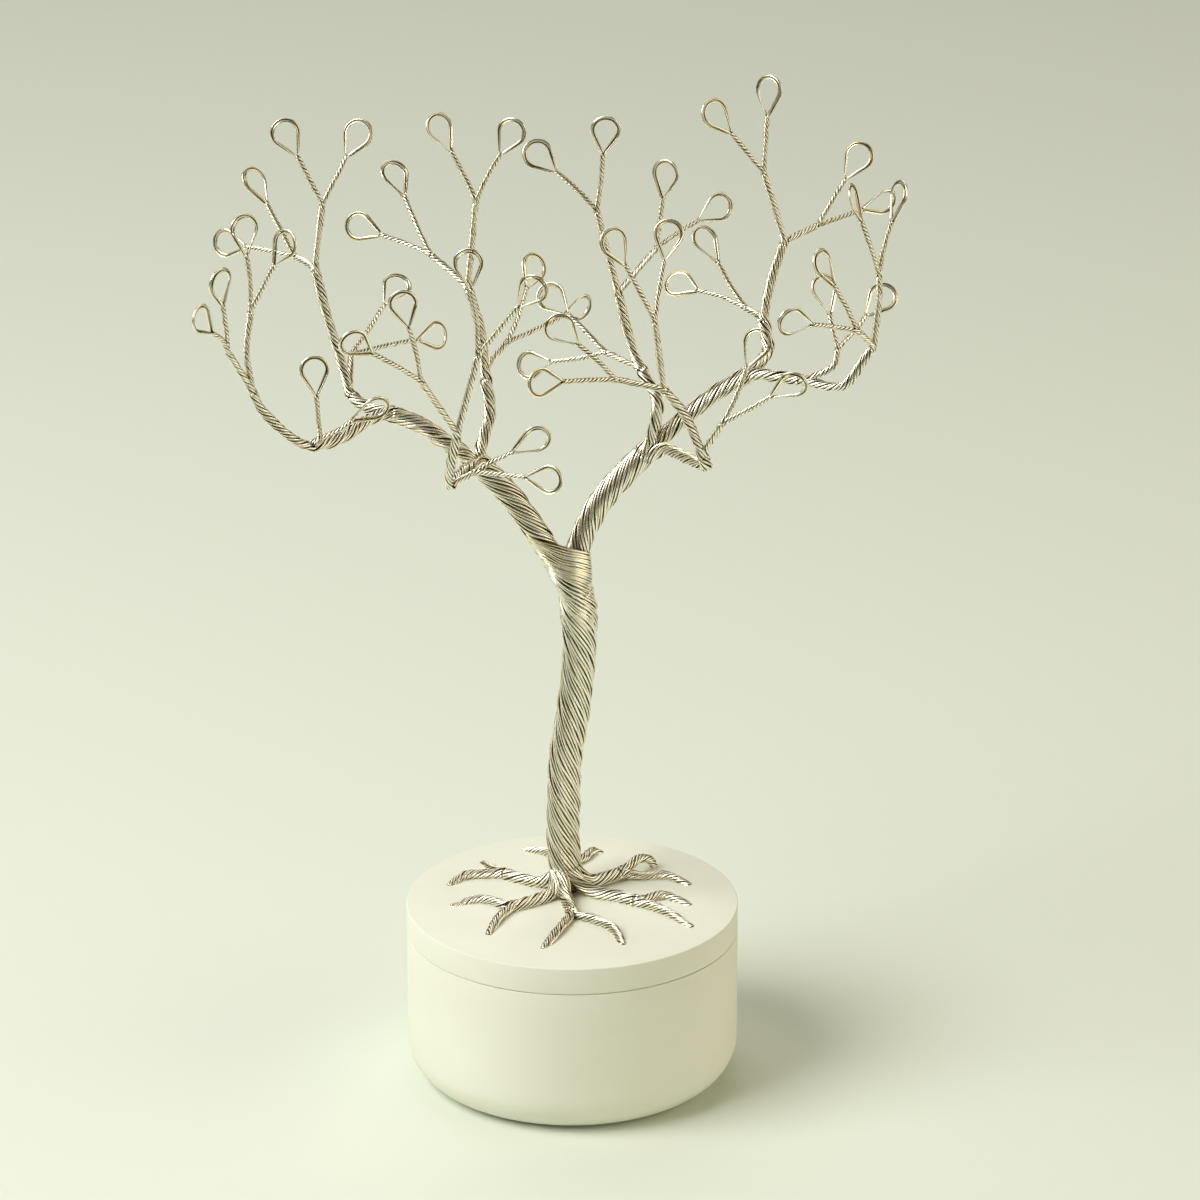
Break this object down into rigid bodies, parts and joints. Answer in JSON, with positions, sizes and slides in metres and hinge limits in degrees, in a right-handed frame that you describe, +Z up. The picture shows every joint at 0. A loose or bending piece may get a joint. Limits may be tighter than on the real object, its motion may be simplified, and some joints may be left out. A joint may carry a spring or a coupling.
{
  "type": "wire tree sculpture",
  "caption": "Tree of twisted metal wire with looped twig ends, its roots set in the flat lid of a round jar that is its plinth.",
  "frame": {"origin": "middle of the jar's flat underside", "axes": "+Z up along the jar's axis, +X to the right and +Y away from a viewer in front"},
  "size_m": [0.1632, 0.0902, 0.244],
  "materials": {
    "jar": "matt, cast",
    "wire": "bright drawn wire, pale champagne silver"
  },
  "bodies": {
    "root": {"jar_bowl": "jar", "jar_lid": "jar", "wire_tree": "wire"}
  },
  "joints": []
}
